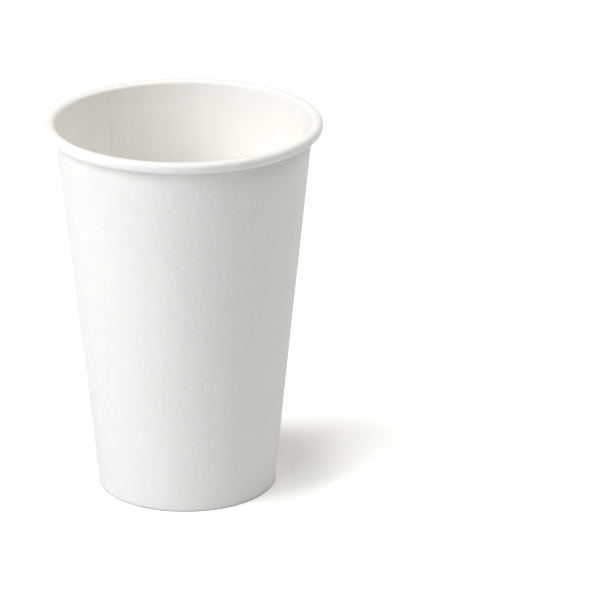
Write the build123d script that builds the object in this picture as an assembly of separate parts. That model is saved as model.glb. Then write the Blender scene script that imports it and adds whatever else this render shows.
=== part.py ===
"""A paper cup for hot drinks: a rolled paperboard sidewall and a bottom disc sealed into its foot.

The frame is in millimetres, +Z up, with the origin at the centre of the ring that the cup stands on.
Both pieces are drawn as half sections, X outwards and Y upwards, and turned about the cup's axis.
A section lies between two parallel lines in the board. A line's depth is measured into the board
from its coated face, which is the drink's side of the wall and the outside of the rolled rim.
"""

import os
from math import asin, atan2, cos, degrees, sin, tan

from build123d import *

# Driving sizes of the cup
cup_height = 125.0
rim_diameter = 90.0
foot_diameter = 58.4

# Board, and the film of coating that seals the pieces together
wall_board = 0.35
disc_board = 0.30
seal_film = 0.03

# Rolled rim: the roll is pressed almost square, and its raw edge is tucked inside it
roll_size = 3.5
roll_corner = 1.15
tuck_gap = 0.05
tuck_sweep = 66.0

# Foot: how high the disc sits, its bend, and the hem that folds up inside its skirt
bottom_recess = 9.0
disc_bend = 0.4
hem_height = 7.0
skirt_clearance = 0.4

# Side seam: width of the lap, the step that it leaves on each face, and the bearing of its inner edge
seam_lap = 7.0
seam_step = 0.16
seam_bearing = 129.0
seam_clearance = 0.3

# Worked out from the sizes above
foot_radius = foot_diameter / 2
rim_radius = rim_diameter / 2
roll_start = Vector(rim_radius - roll_size, cup_height - roll_corner)
wall_reach = roll_start - Vector(foot_radius, 0)
slope = atan2(wall_reach.X, wall_reach.Y) + asin(wall_board / wall_reach.length)
up = Vector(sin(slope), cos(slope))
pocket = disc_board + 2 * seal_film
fold_radius = pocket / 4
disc_top = bottom_recess + disc_board


def wall_point(height, inset=0.0):
    """A point at this height on the wall's coated face, or on a line that lies inset from it."""
    return Vector(foot_radius + height * tan(slope) - (wall_board + inset) / cos(slope), height)


def roll_corners(depth):
    """The rolled rim's corners before they are rounded, from the wall to the middle of its underside."""
    top = cup_height - depth
    underside = cup_height - roll_size + depth
    outside = rim_radius - depth
    middle = rim_radius - roll_size / 2
    return wall_point(top, -depth), Vector(outside, top), Vector(outside, underside), Vector(middle, underside)


def wall_line(depth):
    """The sidewall from the top of its hem, round the foot, up the wall and into the tucked rim."""
    hem_top = wall_point(wall_board, pocket + depth) + up * hem_height
    hem_fold = wall_point(wall_board - depth, pocket + depth)
    wall_fold = wall_point(wall_board - depth, -depth)
    bends = 2 * [fold_radius + depth] + 3 * [roll_corner - depth]
    runs = FilletPolyline(hem_top, hem_fold, wall_fold, *roll_corners(depth), radius=bends)
    tuck_radius = roll_size / 2 - wall_board - tuck_gap
    tuck = JernArc(runs @ 1, runs % 1, tuck_radius - depth, -tuck_sweep)
    return Wire([*runs.edges(), tuck])


def inner_lap_line(depth):
    """The lap on the drink's side, from just above the disc to the underside of the rolled rim."""
    foot = wall_point(disc_top + seam_clearance, -depth)
    return FilletPolyline(foot, *roll_corners(depth), radius=roll_corner - depth)


def outer_lap_line(depth):
    """The lap on the outside, from the fold of the foot to just under the rolled rim."""
    head = wall_point(cup_height - roll_size - seam_clearance, -depth)
    return Wire([Line(wall_point(wall_board, -depth), head)])


def disc_line(depth):
    """The bottom disc from the cup's axis, round the bend and down its skirt."""
    inset = seal_film + depth
    corner = wall_point(disc_top - depth, inset)
    skirt_end = wall_point(wall_board + skirt_clearance, inset)
    bend = disc_bend + disc_board - depth
    return FilletPolyline((0, disc_top - depth), corner, skirt_end, radius=bend)


def turned(line_at, near, far, start=0.0, sweep=360.0):
    """The solid that the section between two depths of a line makes, turned about the cup's axis."""
    first, last = line_at(near), line_at(far)
    ends = [Line(first @ 0, last @ 0), Line(first @ 1, last @ 1)]
    section = make_face([*first.edges(), *last.edges(), *ends])
    return Rot(0, 0, start) * revolve(Plane.XZ * section, Axis.Z, sweep)


def sidewall():
    """One fan-shaped blank, wrapped into a cone, lapped, rolled at the top and hemmed at the foot."""
    lap_sweep = degrees(2 * seam_lap / rim_diameter)
    lap_start = seam_bearing - lap_sweep
    mid_board = wall_board / 2
    inner_lap = turned(inner_lap_line, -seam_step, mid_board, lap_start, lap_sweep)
    outer_lap = turned(outer_lap_line, mid_board, wall_board + seam_step, lap_start, lap_sweep)
    return turned(wall_line, 0, wall_board) + inner_lap + outer_lap


def bottom_disc():
    """A round blank with its edge turned down into a skirt, which the hem clasps against the wall."""
    return turned(disc_line, 0, disc_board)


os.makedirs("parts", exist_ok=True)
for name, make in (("sidewall", sidewall), ("bottom_disc", bottom_disc)):
    export_step(make(), f"parts/{name}.step")
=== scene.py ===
"""Dresses a paper coffee cup: board, rolled rim, lapped seam, bottom disc and a plain white studio.

Lengths are in metres in the cup's own frame, +Z up, with the origin at the centre of its foot.
Each piece is one board. Its coated face is drawn as a half section, and a node tree turns that
section about the cup's axis, gives it its thickness and laps its two ends where they meet.
"""

from math import asin, atan2, copysign, cos, pi, radians, sin, tan

import bpy
from bpy.props import FloatProperty, FloatVectorProperty, IntProperty, PointerProperty
from bpy.types import Operator, Panel, PropertyGroup
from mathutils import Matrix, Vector


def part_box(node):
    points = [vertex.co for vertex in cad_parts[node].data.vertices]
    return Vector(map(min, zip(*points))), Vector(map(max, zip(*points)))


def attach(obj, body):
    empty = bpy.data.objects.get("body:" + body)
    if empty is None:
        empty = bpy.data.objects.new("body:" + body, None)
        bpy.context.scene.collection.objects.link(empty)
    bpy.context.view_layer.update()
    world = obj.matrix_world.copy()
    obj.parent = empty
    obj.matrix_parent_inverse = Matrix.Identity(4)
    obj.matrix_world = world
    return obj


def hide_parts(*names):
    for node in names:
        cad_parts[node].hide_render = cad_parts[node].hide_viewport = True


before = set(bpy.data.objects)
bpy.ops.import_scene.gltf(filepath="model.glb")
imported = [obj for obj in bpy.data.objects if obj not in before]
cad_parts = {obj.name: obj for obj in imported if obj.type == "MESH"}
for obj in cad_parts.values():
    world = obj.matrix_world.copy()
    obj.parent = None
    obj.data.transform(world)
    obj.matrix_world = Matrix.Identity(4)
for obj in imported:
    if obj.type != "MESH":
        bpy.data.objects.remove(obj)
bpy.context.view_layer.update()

bl_info = {
    "name": "Paper Coffee Cup",
    "version": (1, 0, 0),
    "blender": (4, 5, 0),
    "location": "3D View > Sidebar > Cup",
    "description": "Wraps a sidewall and seats a bottom disc to make a paper cup on a white floor",
    "category": "Object",
}

MM = 0.001
BODY = "root"
SEAM_STEP = 0.16 * MM
wall_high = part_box("sidewall")[1]
disc_low, disc_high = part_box("bottom_disc")


def length(name, description, default):
    """A size of the cup, in metres."""
    return FloatProperty(name=name, description=description, default=default, min=0, unit="LENGTH",
                         precision=5)


def angle(name, description, default):
    """An angle on the cup, given here in degrees."""
    return FloatProperty(name=name, description=description, default=radians(default), unit="ROTATION")


def share(name, description, default):
    """A share from nothing to the whole."""
    return FloatProperty(name=name, description=description, default=default, min=0, max=1,
                         subtype="FACTOR")


def colour(name, description, default):
    """A colour of board or light."""
    return FloatVectorProperty(name=name, description=description, default=default, min=0, max=1,
                               subtype="COLOR")


def position(name, description, default):
    """A place in the studio, in metres."""
    return FloatVectorProperty(name=name, description=description, default=default, subtype="TRANSLATION",
                               unit="LENGTH")


def power(name, description, default):
    """A lamp's power in watts."""
    return FloatProperty(name=name, description=description, default=default, min=0, unit="POWER")


class CupSizes(PropertyGroup):
    """Sizes of the two boards and of the way they are rolled, folded and lapped."""

    height: length("Height", "From the foot to the top of the roll", wall_high.z - SEAM_STEP)
    rim_diameter: length("Rim diameter", "Outside of the rolled rim", 2 * wall_high.x)
    foot_diameter: length("Foot diameter", "Outside of the wall, drawn down to the table", 58.4 * MM)
    wall_board: length("Wall board", "Thickness of the sidewall's board", 0.35 * MM)
    disc_board: length("Disc board", "Thickness of the bottom disc's board", 0.30 * MM)
    seal_film: length("Seal film", "Melted coating between disc and wall", 0.03 * MM)
    roll_size: length("Roll size", "Width and height of the rolled rim", 3.5 * MM)
    roll_corner: length("Roll corner", "Rounding of the roll where the wall runs into it", 1.15 * MM)
    roll_square: FloatProperty(name="Roll square", description="2 is a round roll, and more is squarer",
                               default=2.5, min=2, soft_max=6)
    tuck_gap: length("Tuck gap", "Gap between the roll and the edge tucked inside it", 0.05 * MM)
    tuck_sweep: angle("Tuck sweep", "How far the raw edge goes on inside the roll", 66)
    hem_height: length("Hem height", "How far the foot is folded up inside the skirt", 7 * MM)
    disc_bend: length("Disc bend", "Inside radius of the bottom disc's bend", 0.4 * MM)
    seam_lap: length("Seam lap", "Width of the side seam at the rim", 7 * MM)
    seam_step: length("Seam step", "How far the seam stands out on each face", SEAM_STEP)
    seam_skive: length("Seam skive", "Width over which the lap's layers thin to their edges", 1.6 * MM)
    seam_edge: share("Seam edge", "Part of the step that is left at a skived edge", 0.3)
    seam_bearing: angle("Seam bearing", "Where the seam's inner edge lies, round from +X", 129)
    wave_depth: length("Wave depth", "How far the open wall strays from a true cone", 0.10 * MM)
    wave_width: length("Wave width", "Size of the wall's soft waves", 34 * MM)
    crimp_depth: length("Crimp depth", "Depth of the marks pressed into the hem", 0.09 * MM)
    crimps: IntProperty(name="Crimps", description="Marks round the hem", default=90, min=1)
    columns: IntProperty(name="Columns", description="Points round each board", default=400, min=24)


class PaperFinish(PropertyGroup):
    """Colours and finishes of the board."""

    board_white: colour("Board white", "Raw outside of the sidewall", (0.88, 0.876, 0.864))
    coated_white: colour("Coated white", "Drink's side", (0.955, 0.942, 0.905))
    # Painted shade: the roll is coated board like the inside, given a darker white because its top catches
    # more light
    rim_painted_shade: colour("Rim white", "Coated board where it goes round the roll", (0.88, 0.876, 0.864))
    disc_white: colour("Disc white", "Raw underside of the bottom disc", (0.87, 0.855, 0.825))
    cut_white: colour("Cut white", "Fibres of a cut edge", (0.80, 0.775, 0.73))
    board_roughness: share("Board roughness", "Roughness of the raw board", 0.80)
    coated_roughness: share("Coated roughness", "Roughness of the coated board", 0.46)
    cut_roughness: share("Cut roughness", "Roughness of a cut edge", 0.92)
    glow: share("Glow", "Share of the light that soaks into the board", 0.06)
    glow_reach: length("Glow reach", "How far that light spreads in the board", 1.0 * MM)
    gloss: share("Gloss", "How strongly the board mirrors at a slant", 0.2)
    cloud_depth: share("Cloud depth", "How far the board's clouds darken it", 0.018)
    cloud_width: length("Cloud width", "Size of the board's clouds", 6 * MM)
    mottle_width: length("Mottle width", "Size of the board's shallow dimples", 2.0 * MM)
    mottle_relief: length("Mottle relief", "Depth of the board's shallow dimples", 0.13 * MM)
    fibre_width: length("Fibre width", "Size of the board's fibres", 0.35 * MM)
    fibre_relief: length("Fibre relief", "Depth of the board's fibres", 0.006 * MM)
    coated_relief: share("Coated relief", "Part of the relief that shows through the coating", 0.3)
    cut_relief: FloatProperty(name="Cut relief", description="How many times deeper a cut edge's relief is",
                              default=3, min=0)


class StudioSetup(PropertyGroup):
    """Floor, lights and camera."""

    floor_bounce: share("Floor bounce", "How much light the floor throws back", 0.86)
    # Floor near and far: the camera sees the floor paler away from the cup, painted light that cuts the
    # cup's shadow short
    floor_near: FloatProperty(name="Floor near", description="How pale the camera sees it at the cup",
                              default=1.11, min=0, soft_max=2)
    floor_far: FloatProperty(name="Floor far", description="How pale the camera sees it round about",
                             default=1.63, min=0, soft_max=2)
    # A painted shadow: the floor's colour under the foot's fold is darkened to stand in for the shade in
    # that gap
    floor_painted_shadow: share("Floor contact", "How dark the floor is in the gap under the foot's fold", 0.15)
    ambient: FloatProperty(name="Ambient", description="Strength of the light from all round",
                           default=0.02, min=0)
    lamp_size: length("Lamp size", "Side of each lamp beside the cup", 0.9)
    top_size: length("Top lamp size", "Side of the lamp over the cup", 0.5)
    front_place: position("Front lamp place", "Before the cup, on its left", (-0.704, -0.969, 0.965))
    front_power: power("Front lamp power", "Lights the middle of the wall", 8.1)
    left_place: position("Left lamp place", "Beside the cup, on its left", (-1.109, -0.494, 0.944))
    left_power: power("Left lamp power", "Lights the left of the wall and the right of the inside", 12.0)
    right_place: position("Right lamp place", "Beside the cup, on its right", (0.930, 0.164, 1.228))
    right_power: power("Right lamp power", "Fills the wall's shaded side and the left of the inside", 11.2)
    right_colour: colour("Right lamp colour", "Slightly warm", (1.0, 0.97, 0.925))
    top_place: position("Top lamp place", "Over the cup, towards its left", (-0.345, -0.112, 1.518))
    top_power: power("Top lamp power", "Lights the rim and draws the short shadow", 4.2)
    camera_place: position("Camera place", "Where the camera stands", (0.0375, -1.2007, 0.5206))
    camera_tilt: angle("Camera tilt", "How far the camera looks down", 20.87)
    camera_lens: FloatProperty(name="Camera lens", description="Focal length in millimetres",
                               default=235.3, min=1)


class Signal:
    """A socket that works in sums: an expression on values adds its Math nodes to the tree."""

    def __init__(self, bench, socket):
        self.bench = bench
        self.socket = socket

    def out(self, name):
        """Another socket of the same node."""
        return Signal(self.bench, self.socket.node.outputs[name])

    def math(self, operation, *values):
        return self.bench.node("ShaderNodeMath", {"operation": operation}, dict(enumerate(values)))

    def __add__(self, other):
        return self.math("ADD", self, other)

    def __sub__(self, other):
        return self.math("SUBTRACT", self, other)

    def __mul__(self, other):
        return self.math("MULTIPLY", self, other)

    def __truediv__(self, other):
        return self.math("DIVIDE", self, other)

    def __rsub__(self, other):
        return self.math("SUBTRACT", other, self)

    def __rtruediv__(self, other):
        return self.math("DIVIDE", other, self)

    __radd__ = __add__
    __rmul__ = __mul__

    def floor(self):
        return self.math("FLOOR", self)

    def cosine(self):
        return self.math("COSINE", self)

    def larger(self, other):
        return self.math("MAXIMUM", self, other)

    def exceeds(self, other):
        return self.math("GREATER_THAN", self, other)


# A Mix node's colour sockets by number, because its sockets for numbers have the same names
MIX_FACTOR = 0
MIX_FIRST = 6
MIX_SECOND = 7
MIX_RESULT = 2


class Bench:
    """A node tree on which nodes are laid out."""

    def __init__(self, tree):
        self.tree = tree

    def node(self, kind, settings=None, sockets=None):
        """A new node, with its settings first and then the values or links of its sockets."""
        made = self.tree.nodes.new(kind)
        for name, value in (settings or {}).items():
            setattr(made, name, value)
        for key, value in (sockets or {}).items():
            self.feed(made.inputs[key], value)
        return Signal(self, made.outputs[0] if made.outputs else None)

    def feed(self, socket, value):
        if isinstance(value, Signal):
            self.tree.links.new(value.socket, socket)
        else:
            socket.default_value = value

    def ease(self, value, low, high):
        """A smooth step from 0 at low to 1 at high."""
        return self.node("ShaderNodeMapRange", {"interpolation_type": "SMOOTHSTEP"},
                         {"Value": value, "From Min": low, "From Max": high})

    def vector(self, operation, first, second):
        return self.node("ShaderNodeVectorMath", {"operation": operation}, {0: first, 1: second})

    def scaled(self, vector, factor):
        return self.node("ShaderNodeVectorMath", {"operation": "SCALE"}, {0: vector, "Scale": factor})

    def reach(self, vector):
        """The length of a vector."""
        return self.node("ShaderNodeVectorMath", {"operation": "LENGTH"}, {0: vector}).out("Value")

    def blend(self, factor, first, second):
        """A colour between two, by a factor."""
        sockets = {MIX_FACTOR: factor, MIX_FIRST: first, MIX_SECOND: second}
        return self.node("ShaderNodeMix", {"data_type": "RGBA"}, sockets).out(MIX_RESULT)


def empty_bench(owner):
    """The cleared node tree of a material or a world."""
    owner.use_nodes = True
    owner.node_tree.nodes.clear()
    return Bench(owner.node_tree)


class Section:
    """A half section of a board's coated face, drawn as runs and turns, X outwards and Z upwards.

    The raw face lies on the right of the pen. Each point also says how much the seam may swell
    there, how much the wall may wave and how deep the hem's marks go.
    """

    def __init__(self, start, heading):
        self.pen = Vector(start)
        self.heading = heading
        self.points = []
        self.mark(0, 0, 0)

    def mark(self, swell, wave, crimp):
        facing = Vector((sin(self.heading), -cos(self.heading)))
        self.points.append((self.pen.copy(), facing, swell, wave, crimp))

    def run(self, distance, rows, swell=None, wave=None, crimp=None):
        """Straight on, with each row's weights given by how far along the run it is."""
        start = self.pen.copy()
        ahead = Vector((cos(self.heading), sin(self.heading)))
        for row in range(1, rows + 1):
            along = row / rows
            self.pen = start + ahead * distance * along
            self.mark(*(weight(along) if weight else 0 for weight in (swell, wave, crimp)))

    def turn(self, radius, sweep, rows):
        """Round an arc, to the left for a positive sweep."""
        side = 1 if sweep > 0 else -1
        centre = self.pen + Vector((-sin(self.heading), cos(self.heading))) * radius * side
        first = self.heading
        for row in range(1, rows + 1):
            self.heading = first + sweep * row / rows
            self.pen = centre + Vector((sin(self.heading), -cos(self.heading))) * radius * side
            self.mark(0, 0, 0)

    def roll(self, centre, half, square, sweep, rows, swell):
        """Round a pressed roll to the right, with its outside on the left of the pen."""
        first = self.heading
        for row in range(1, rows + 1):
            self.heading = first - sweep * row / rows
            outside = Vector((-sin(self.heading), cos(self.heading)))
            self.pen = centre + pressed_point(outside, square) * half
            self.mark(swell(row / rows), 0, 0)

    def mesh(self, name):
        """The section's points and lines, with the weights as attributes."""
        made = bpy.data.meshes.new(name)
        places = [(place.x, 0, place.y) for place, *_ in self.points]
        made.from_pydata(places, [(i, i + 1) for i in range(len(places) - 1)], [])
        facing = made.attributes.new("facing", "FLOAT_VECTOR", "POINT")
        for item, (_, normal, *_) in zip(facing.data, self.points):
            item.vector = (normal.x, 0, normal.y)
        for column, label in ((2, "swell"), (3, "wave"), (4, "crimp")):
            weights = made.attributes.new(label, "FLOAT", "POINT")
            for item, point in zip(weights.data, self.points):
                item.value = point[column]
        return made


def pressed_point(outside, square):
    """The point of a pressed roll, one unit in half size, that faces this way."""
    facing = Vector(abs(part) ** (1 / (square - 1)) for part in outside)
    reach = sum(part ** square for part in facing) ** (1 / square)
    return Vector(copysign(part, way) / reach for part, way in zip(facing, outside))


def rise(along, start, end):
    """A smooth step from 0 at start to 1 at end, for weights along a section."""
    held = min(max((along - start) / (end - start), 0), 1)
    return held * held * (3 - 2 * held)


# The wall's lowest run, which the skirt backs, and how much it waves at its top
FOOT_RUN = 9 * MM
FOOT_WAVE = 0.5

# How much of the seam's step is left where the roll is pressed
ROLLED_SWELL = 0.45


class CupShape:
    """What both sections share: the wall's slope and its lines, worked out from the cup's sizes."""

    def __init__(self, sizes):
        self.sizes = sizes
        roll_start = Vector((sizes.rim_diameter / 2 - sizes.roll_size, sizes.height - sizes.roll_corner))
        reach = roll_start - Vector((sizes.foot_diameter / 2, 0))
        self.slope = atan2(reach.x, reach.y) + asin(sizes.wall_board / reach.length)
        self.up = Vector((sin(self.slope), cos(self.slope)))
        self.inward = Vector((-cos(self.slope), sin(self.slope)))
        self.pocket = sizes.disc_board + 2 * sizes.seal_film

    def wall_point(self, height, inset=0.0):
        """A point on the wall's coated face, or on a line that lies inset from it."""
        depth = (self.sizes.wall_board + inset) / cos(self.slope)
        return Vector((self.sizes.foot_diameter / 2 + height * tan(self.slope) - depth, height))

    def sidewall_section(self):
        """From the top of the hem, round the foot, up the wall and into the tucked rim."""
        sizes = self.sizes
        fold = self.pocket / 4
        hem_turn = pi / 2 + self.slope
        wall_turn = pi / 2 - self.slope
        hem_cut = fold * tan(hem_turn / 2)
        wall_cut = fold * tan(wall_turn / 2)
        hem_top = self.wall_point(sizes.wall_board, self.pocket) + self.up * sizes.hem_height
        roll_half = sizes.roll_size / 2
        roll_lead = pressed_point(self.inward, sizes.roll_square) * roll_half
        wall_top = self.wall_point(sizes.height - roll_half + roll_lead.y)
        wall_run = (wall_top - self.wall_point(sizes.wall_board)).length - wall_cut
        roll_sweep = 1.5 * pi - self.slope
        tuck_radius = roll_half - sizes.wall_board - sizes.tuck_gap

        def hem_marks(along):
            return rise(along, 0.1, 0.1 + 1 / 6) - rise(along, 5 / 6, 1)

        def foot_swell(along):
            return rise(along, 0, 5 / 8)

        def foot_wave(along):
            return FOOT_WAVE * rise(along, 0, 1)

        def wall_swell(along):
            return 1 - (1 - ROLLED_SWELL) * rise(along, 11 / 12, 1)

        def wall_wave(along):
            return FOOT_WAVE + (1 - FOOT_WAVE) * rise(along, 0, 1 / 3) - rise(along, 7 / 8, 1)

        def roll_swell(along):
            return ROLLED_SWELL * (1 - rise(along, 5 / 6, 1))

        section = Section(hem_top, -hem_turn)
        section.run(sizes.hem_height - hem_cut, rows=12, crimp=hem_marks)
        section.turn(fold, hem_turn, rows=6)
        section.run(self.pocket / cos(self.slope) - hem_cut - wall_cut, rows=1)
        section.turn(fold, wall_turn, rows=6)
        section.run(FOOT_RUN, rows=8, swell=foot_swell, wave=foot_wave)
        section.run(wall_run - FOOT_RUN, rows=34, swell=wall_swell, wave=wall_wave)
        section.roll(wall_top - roll_lead, roll_half, sizes.roll_square, roll_sweep, rows=44,
                     swell=roll_swell)
        section.turn(tuck_radius, -sizes.tuck_sweep, rows=8)
        return section

    def disc_section(self):
        """From the cup's axis, round the bend and down the skirt."""
        sizes = self.sizes
        bend = sizes.disc_bend + sizes.disc_board
        bend_turn = pi / 2 + self.slope
        bend_cut = bend * tan(bend_turn / 2)
        corner = self.wall_point(disc_high.z, sizes.seal_film)
        skirt_end = self.wall_point(disc_low.z, sizes.seal_film)

        def disc_wave(along):
            return 1 - rise(along, 2 / 3, 1)

        section = Section((0, disc_high.z), 0)
        section.run(corner.x - bend_cut, rows=26, wave=disc_wave)
        section.turn(bend, -bend_turn, rows=8)
        section.run((skirt_end - corner).length - bend_cut, rows=8)
        return section


WRAP_INPUTS = (
    ("Section", "NodeSocketGeometry"),
    ("Columns", "NodeSocketInt"),
    ("Start", "NodeSocketFloat"),
    ("Sweep", "NodeSocketFloat"),
    ("Lap", "NodeSocketFloat"),
    ("Skive", "NodeSocketFloat"),
    ("Edge", "NodeSocketFloat"),
    ("Seam", "NodeSocketFloat"),
    ("Step", "NodeSocketFloat"),
    ("Board", "NodeSocketFloat"),
    ("Wave depth", "NodeSocketFloat"),
    ("Wave width", "NodeSocketFloat"),
    ("Crimps", "NodeSocketFloat"),
    ("Crimp depth", "NodeSocketFloat"),
    ("Coated face", "NodeSocketMaterial"),
    ("Raw face", "NodeSocketMaterial"),
    ("Cut edge", "NodeSocketMaterial"),
)
MERGE_DISTANCE = 0.0005 * MM
SHARP_EDGE = radians(50)

# How far the line between the lap's layers runs on past its ends, in skives
SLANT_OVERRUN = 0.25


def wrap_tree():
    """The tree that turns a section into a board, and the identifiers of its inputs by name."""
    tree = bpy.data.node_groups.new("Wrapped board", "GeometryNodeTree")
    identifiers = {}
    for name, kind in WRAP_INPUTS:
        identifiers[name] = tree.interface.new_socket(name, in_out="INPUT", socket_type=kind).identifier
    tree.interface.new_socket("Board", in_out="OUTPUT", socket_type="NodeSocketGeometry")
    bench = Bench(tree)
    given = bench.node("NodeGroupInput")
    section = given.out("Section")

    # One column of points for each bearing, and in it one row for each point of the section
    rows = bench.node("GeometryNodeAttributeDomainSize", {"component": "MESH"}, {"Geometry": section})
    grid = bench.node("GeometryNodeMeshGrid", {}, {"Vertices X": given.out("Columns"), "Vertices Y": rows})
    index = bench.node("GeometryNodeInputIndex")
    column = (index / rows).floor()
    row = index - column * rows

    def sampled(kind, field):
        return bench.node("GeometryNodeSampleIndex", {"data_type": kind},
                          {"Geometry": section, "Value": field, "Index": row})

    def weight(name, kind="FLOAT"):
        field = bench.node("GeometryNodeInputNamedAttribute", {"data_type": kind}, {"Name": name})
        return sampled(kind, field)

    place = sampled("FLOAT_VECTOR", bench.node("GeometryNodeInputPosition"))
    facing = weight("facing", "FLOAT_VECTOR")
    turned = given.out("Sweep") * column / (given.out("Columns") - 1)
    bearing = given.out("Start") + turned

    def at_bearing(vector):
        return bench.node("ShaderNodeVectorRotate", {"rotation_type": "Z_AXIS"},
                          {"Vector": vector, "Angle": bearing})

    # The first end of the blank is the outer layer of the lap, and the last end is the inner one.
    # Both are skived: the line between them slants from one face of the board to the other.
    seam = given.out("Seam")
    lap = given.out("Lap")
    skive = given.out("Skive")
    edge = given.out("Edge")
    board = given.out("Board")
    step = given.out("Step") * weight("swell") * seam
    into_inner = turned - (given.out("Sweep") - lap)

    def slant(along):
        """How far the line between the layers has come through the board, along the lap."""
        first = bench.ease(along, skive * -SLANT_OVERRUN, skive)
        last = bench.ease(along, lap - skive, lap + skive * SLANT_OVERRUN)
        return (first + last) * 0.5 * seam

    outer_thin = edge + (1 - edge) * bench.ease(turned, 0.0, skive)
    outer_swell = outer_thin * (1 - bench.ease(turned, lap - skive, lap + skive))
    inner_thin = 1 - (1 - edge) * bench.ease(into_inner, lap - skive, lap)
    inner_swell = inner_thin * bench.ease(into_inner, skive * -1, skive)
    noise = bench.node("ShaderNodeTexNoise", {},
                       {"Vector": at_bearing(place), "Scale": 1 / given.out("Wave width"), "Detail": 1.0})
    sway = (noise - 0.5) * 2 * given.out("Wave depth") * weight("wave")
    groove = (bearing * given.out("Crimps")).cosine().larger(0)
    crimp = groove * given.out("Crimp depth") * weight("crimp")

    def at_depth(depth):
        return at_bearing(bench.vector("ADD", place, bench.scaled(facing, depth)))

    coated_place = at_depth(sway + board * (seam - slant(turned)) - step * inner_swell)
    raw_place = at_depth(sway + board * (1 - slant(into_inner)) + step * outer_swell - crimp)

    # The coated face first, then the raw face and the cut edges that close the board
    coated = bench.node("GeometryNodeSetPosition", {}, {"Geometry": grid, "Position": coated_place})
    stored = bench.node("GeometryNodeStoreNamedAttribute", {"data_type": "FLOAT_VECTOR", "domain": "POINT"},
                        {"Geometry": coated, "Name": "raw_place", "Value": raw_place})
    closed = bench.node("GeometryNodeMergeByDistance", {},
                        {"Geometry": stored, "Distance": MERGE_DISTANCE})
    grown = bench.node("GeometryNodeExtrudeMesh", {"mode": "FACES"},
                       {"Mesh": closed, "Offset Scale": 0.0, "Individual": False})
    kept = bench.node("GeometryNodeInputNamedAttribute", {"data_type": "FLOAT_VECTOR"},
                      {"Name": "raw_place"})
    raised = bench.node("GeometryNodeSetPosition", {},
                        {"Geometry": grown, "Selection": grown.out("Top"), "Position": kept})
    drink_side = bench.node("GeometryNodeFlipFaces", {}, {"Mesh": closed})
    joined = bench.node("GeometryNodeJoinGeometry")
    for shell in (raised, drink_side):
        bench.feed(joined.socket.node.inputs["Geometry"], shell)
    whole = bench.node("GeometryNodeMergeByDistance", {}, {"Geometry": joined, "Distance": MERGE_DISTANCE})
    bare = bench.node("GeometryNodeRemoveAttribute", {}, {"Geometry": whole, "Name": "raw_place"})
    soft = bench.node("GeometryNodeSetShadeSmooth", {"domain": "FACE"},
                      {"Geometry": bare, "Shade Smooth": True})
    corner = bench.node("GeometryNodeInputMeshEdgeAngle").exceeds(SHARP_EDGE)
    crisp = bench.node("GeometryNodeSetShadeSmooth", {"domain": "EDGE"},
                       {"Geometry": soft, "Selection": corner, "Shade Smooth": False})
    finished = bench.node("GeometryNodeRealizeInstances", {}, {"Geometry": crisp})
    chosen = {"Coated face": True, "Raw face": grown.out("Top"), "Cut edge": grown.out("Side")}
    for finish, faces in chosen.items():
        finished = bench.node("GeometryNodeSetMaterial", {},
                              {"Geometry": finished, "Selection": faces, "Material": given.out(finish)})
    bench.node("NodeGroupOutput", {}, {0: finished})
    return tree, identifiers


def wrapped(name, section, settings):
    """The board that the tree makes of a section, as a plain mesh on an object of this name."""
    piece = bpy.data.objects.new(name, section)
    bpy.context.scene.collection.objects.link(piece)
    tree, identifiers = wrap_tree()
    modifier = piece.modifiers.new("Wrap", "NODES")
    modifier.node_group = tree
    for label, value in settings.items():
        modifier[identifiers[label]] = value
    graph = bpy.context.evaluated_depsgraph_get()
    board = bpy.data.meshes.new_from_object(piece.evaluated_get(graph), preserve_all_data_layers=True,
                                            depsgraph=graph)
    if not board.polygons:
        raise RuntimeError(f"the tree made no board for {name}")
    piece.modifiers.remove(modifier)
    piece.data = board
    board.name = name
    return piece


# How strongly each layer of the board's pattern shades it
CLOUD_SHADE = 1.2
DIMPLE_SHADE = 0.6
FIBRE_SHADE = 0.6

# How far the fibres vary the roughness, and how far red, green and blue spread in the board
ROUGHNESS_SPREAD = 0.16
GLOW_SPREAD = (1.0, 0.85, 0.6)


def paper_material(name, white, roughness, relief, finish, roll=None):
    """White board: soft clouds of fibre, a fine fibrous relief and an uneven finish.

    A board with a roll is given the radius of its inside and its middle, and turns to the rim's painted
    shade between them: a darker white that stands in for the extra light that the roll's top catches.
    """
    made = bpy.data.materials.new(name)
    bench = empty_bench(made)
    place = bench.node("ShaderNodeTexCoord").out("Object")

    def noise(width, detail, fineness=0.5):
        return bench.node("ShaderNodeTexNoise", {},
                          {"Vector": place, "Scale": 1 / width, "Detail": detail, "Roughness": fineness})

    clouds = noise(finish.cloud_width, detail=2.0)
    dimples = noise(finish.mottle_width, detail=1.5)
    fibres = noise(finish.fibre_width, detail=4.0, fineness=0.65)
    mottle = (clouds - 0.5) * CLOUD_SHADE + (dimples - 0.5) * DIMPLE_SHADE
    shade = mottle + (fibres - 0.5) * FIBRE_SHADE + 0.5
    dim = tuple(part * (1 - 2 * finish.cloud_depth) for part in white)
    paper = bench.blend(shade, (*dim, 1), (*white, 1))
    if roll:
        # Painted shade: the roll turns from the coated white to a darker white
        radius = bench.reach(bench.vector("MULTIPLY", place, (1, 1, 0)))
        paper = bench.blend(bench.ease(radius, *roll), paper, (*finish.rim_painted_shade, 1))
    grain = dimples * (finish.mottle_relief * relief) + fibres * (finish.fibre_relief * relief)
    bump = bench.node("ShaderNodeBump", {}, {"Strength": 1.0, "Distance": 1.0, "Height": grain})
    surface = bench.node("ShaderNodeBsdfPrincipled", {}, {
        "Base Color": paper,
        "Specular IOR Level": finish.gloss,
        "Subsurface Weight": finish.glow,
        "Subsurface Radius": GLOW_SPREAD,
        "Subsurface Scale": finish.glow_reach,
        "Roughness": roughness + (fibres - 0.5) * ROUGHNESS_SPREAD,
        "Normal": bump,
    })
    bench.node("ShaderNodeOutputMaterial", {}, {"Surface": surface})
    return made


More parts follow.
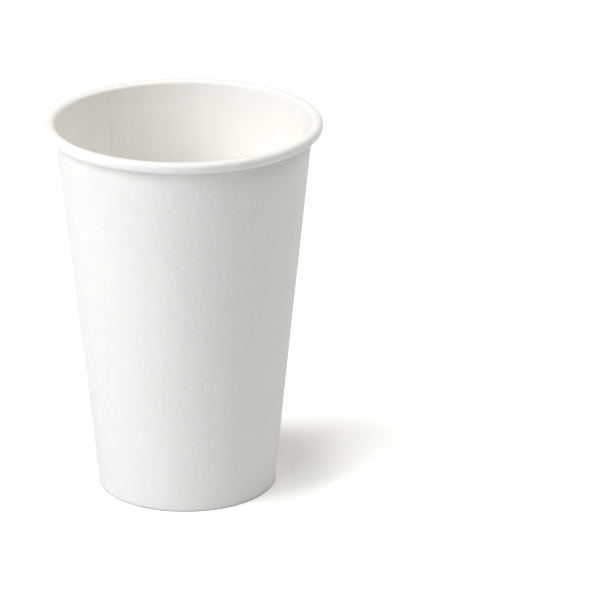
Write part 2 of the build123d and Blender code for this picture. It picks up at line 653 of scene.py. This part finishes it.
def board_finishes(name, raw_white, finish, roll=None):
    """The materials of a board's two faces and its cut edges, by the names of the tree's inputs."""
    return {
        "Coated face": paper_material(f"{name}_coated", finish.coated_white, finish.coated_roughness,
                                      finish.coated_relief, finish, roll),
        "Raw face": paper_material(f"{name}_board", raw_white, finish.board_roughness, 1.0, finish),
        "Cut edge": paper_material(f"{name}_cut", finish.cut_white, finish.cut_roughness,
                                   finish.cut_relief, finish),
    }


class CUP_OT_sidewall(Operator):
    """Wrap the sidewall: one fan-shaped blank, lapped, rolled at the rim and hemmed at the foot"""

    bl_idname = "paper_cup.sidewall"
    bl_label = "Wrap Sidewall"

    def execute(self, context):
        sizes = context.scene.cup_sizes
        finish = context.scene.cup_finish
        lap = 2 * sizes.seam_lap / sizes.rim_diameter
        rim_radius = sizes.rim_diameter / 2
        # The radii between which the coated white turns to the roll's painted shade
        roll = rim_radius - sizes.roll_size, rim_radius - sizes.roll_size / 2
        section = CupShape(sizes).sidewall_section().mesh("sidewall_section")
        piece = wrapped("sidewall_board", section, {
            "Columns": sizes.columns,
            "Start": sizes.seam_bearing - lap,
            "Sweep": 2 * pi + lap,
            "Lap": lap,
            "Skive": 2 * sizes.seam_skive / sizes.rim_diameter,
            "Edge": sizes.seam_edge,
            "Seam": 1.0,
            "Step": sizes.seam_step,
            "Board": sizes.wall_board,
            "Wave depth": sizes.wave_depth,
            "Wave width": sizes.wave_width,
            "Crimps": float(sizes.crimps),
            "Crimp depth": sizes.crimp_depth,
            **board_finishes("wall", finish.board_white, finish, roll),
        })
        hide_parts("sidewall")
        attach(piece, BODY)
        return {"FINISHED"}


class CUP_OT_bottom_disc(Operator):
    """Seat the bottom disc: a round blank with its edge turned down into a skirt"""

    bl_idname = "paper_cup.bottom_disc"
    bl_label = "Seat Bottom Disc"

    def execute(self, context):
        sizes = context.scene.cup_sizes
        finish = context.scene.cup_finish
        section = CupShape(sizes).disc_section().mesh("disc_section")
        piece = wrapped("bottom_disc_board", section, {
            "Columns": sizes.columns // 2,
            "Start": 0.0,
            "Sweep": 2 * pi,
            "Lap": 0.0,
            "Skive": 1.0,
            "Edge": 1.0,
            "Seam": 0.0,
            "Step": 0.0,
            "Board": sizes.disc_board,
            "Wave depth": sizes.wave_depth,
            "Wave width": sizes.wave_width / 2,
            "Crimps": 0.0,
            "Crimp depth": 0.0,
            **board_finishes("disc", finish.disc_white, finish),
        })
        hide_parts("bottom_disc")
        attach(piece, BODY)
        return {"FINISHED"}


def seen_directly(bench):
    """1 for what the camera sees, straight or through a gloss or glass, and 0 for other light."""
    path = bench.node("ShaderNodeLightPath")
    seen = path.out("Is Camera Ray")
    for kind in ("Is Glossy Ray", "Is Transmission Ray"):
        seen = seen.larger(path.out(kind))
    return seen


# Where the floor grades from its near tone to its far one, and from that to plain white, in foot radii
# The first grade is painted light: paler away from the cup, it cuts the cup's shadow short
PAINTED_LIGHT_GRADE = (1.2, 2.2)
FLOOR_END = (8, 16)

# A painted shadow: the dark ring on the floor under the fold, how far inside the foot's outline it begins
# to clear, and where it ends
PAINTED_SHADOW_INSIDE = 0.6 * MM
PAINTED_SHADOW_OUTSIDE = 0.5 * MM

# The floor's sheet: its radius in metres, and how many sides it has
FLOOR_REACH = 30
FLOOR_SIDES = 64


def floor_material(studio, foot_radius):
    """A white floor: paler to the camera than to the light it throws back, with a painted shadow under the
    foot.

    Far from the lamps the camera sees it as plain white, as it sees the world behind it.
    """
    made = bpy.data.materials.new("studio_floor")
    bench = empty_bench(made)
    radius = bench.reach(bench.node("ShaderNodeTexCoord").out("Object"))

    def white(strength):
        return bench.node("ShaderNodeBsdfDiffuse", {}, {"Color": (strength, strength, strength, 1)})

    def mixed(factor, first, second):
        return bench.node("ShaderNodeMixShader", {}, {0: factor, 1: first, 2: second})

    def beyond(near, far):
        return bench.ease(radius, near * foot_radius, far * foot_radius)

    # Painted light: the floor grades paler away from the cup, so that the cup's shadow ends short
    pale = mixed(beyond(*PAINTED_LIGHT_GRADE), white(studio.floor_near), white(studio.floor_far))
    distance = bench.node("ShaderNodeEmission", {}, {"Color": (1, 1, 1, 1), "Strength": 1.0})
    seen = mixed(beyond(*FLOOR_END), pale, distance)
    open_floor = mixed(seen_directly(bench), white(studio.floor_bounce), seen)
    # Painted shadow: the floor turns dark in a thin ring under the foot's fold
    clear = bench.ease(radius, foot_radius - PAINTED_SHADOW_INSIDE, foot_radius + PAINTED_SHADOW_OUTSIDE)
    surface = mixed(clear, white(studio.floor_painted_shadow), open_floor)
    bench.node("ShaderNodeOutputMaterial", {}, {"Surface": surface})
    return made


def lay_floor(studio, foot_radius):
    """A round floor, wide enough to fill every view."""
    made = bpy.data.meshes.new("floor")
    bearings = [2 * pi * side / FLOOR_SIDES for side in range(FLOOR_SIDES)]
    edge = [(FLOOR_REACH * cos(bearing), FLOOR_REACH * sin(bearing), 0) for bearing in bearings]
    made.from_pydata(edge, [], [range(FLOOR_SIDES)])
    made.materials.append(floor_material(studio, foot_radius))
    floor = bpy.data.objects.new("floor", made)
    bpy.context.scene.collection.objects.link(floor)


def light_world(studio):
    """Even light from all round, and pure white where the camera sees past the floor."""
    world = bpy.data.worlds.new("studio")
    bench = empty_bench(world)
    strength = studio.ambient + seen_directly(bench) * (1 - studio.ambient)
    air = bench.node("ShaderNodeBackground", {}, {"Color": (1, 1, 1, 1), "Strength": strength})
    bench.node("ShaderNodeOutputWorld", {}, {"Surface": air})
    bpy.context.scene.world = world


def hang_lamp(name, stand, size, watts, target, tint=(1, 1, 1)):
    """A square soft lamp that faces a point."""
    lamp = bpy.data.lights.new(name, "AREA")
    lamp.shape = "SQUARE"
    lamp.size = size
    lamp.energy = watts
    lamp.color = tint
    holder = bpy.data.objects.new(name, lamp)
    holder.location = stand
    holder.rotation_euler = (target - Vector(stand)).to_track_quat("-Z", "Y").to_euler()
    bpy.context.scene.collection.objects.link(holder)


def stand_camera(studio):
    """The camera, looking down on the cup and level from side to side."""
    lens = bpy.data.cameras.new("camera")
    lens.lens = studio.camera_lens
    camera = bpy.data.objects.new("camera", lens)
    camera.location = studio.camera_place
    camera.rotation_euler = (pi / 2 - studio.camera_tilt, 0, 0)
    bpy.context.scene.collection.objects.link(camera)
    bpy.context.scene.camera = camera


class CUP_OT_stage(Operator):
    """Set the stage: white floor, soft light and the camera"""

    bl_idname = "paper_cup.stage"
    bl_label = "Set Stage"

    def execute(self, context):
        studio = context.scene.cup_studio
        lay_floor(studio, context.scene.cup_sizes.foot_diameter / 2)
        light_world(studio)
        middle = Vector((0, 0, context.scene.cup_sizes.height / 2))
        hang_lamp("front_lamp", studio.front_place, studio.lamp_size, studio.front_power, middle)
        hang_lamp("left_lamp", studio.left_place, studio.lamp_size, studio.left_power, middle)
        hang_lamp("right_lamp", studio.right_place, studio.lamp_size, studio.right_power, middle,
                  studio.right_colour)
        hang_lamp("top_lamp", studio.top_place, studio.top_size, studio.top_power, middle)
        stand_camera(studio)
        context.scene.view_settings.view_transform = "Standard"
        return {"FINISHED"}


class CUP_PT_sidebar(Panel):
    """Lists the cup's steps and what can be changed"""

    bl_idname = "CUP_PT_sidebar"
    bl_label = "Paper Cup"
    bl_space_type = "VIEW_3D"
    bl_region_type = "UI"
    bl_category = "Cup"

    def draw(self, context):
        scene = context.scene
        for operator in OPERATORS:
            self.layout.operator(operator.bl_idname)
        for group in (scene.cup_sizes, scene.cup_finish, scene.cup_studio):
            box = self.layout.box()
            for name in group.bl_rna.properties.keys():
                if name not in {"rna_type", "name"}:
                    box.prop(group, name)


OPERATORS = (CUP_OT_sidewall, CUP_OT_bottom_disc, CUP_OT_stage)
GROUPS = {"cup_sizes": CupSizes, "cup_finish": PaperFinish, "cup_studio": StudioSetup}


def register():
    for kind in (*GROUPS.values(), *OPERATORS, CUP_PT_sidebar):
        bpy.utils.register_class(kind)
    for name, group in GROUPS.items():
        setattr(bpy.types.Scene, name, PointerProperty(type=group))


def unregister():
    for name in GROUPS:
        delattr(bpy.types.Scene, name)
    for kind in (CUP_PT_sidebar, *OPERATORS, *GROUPS.values()):
        bpy.utils.unregister_class(kind)


def main():
    register()
    bpy.ops.paper_cup.sidewall()
    bpy.ops.paper_cup.bottom_disc()
    bpy.ops.paper_cup.stage()


if __name__ == "__main__":
    main()
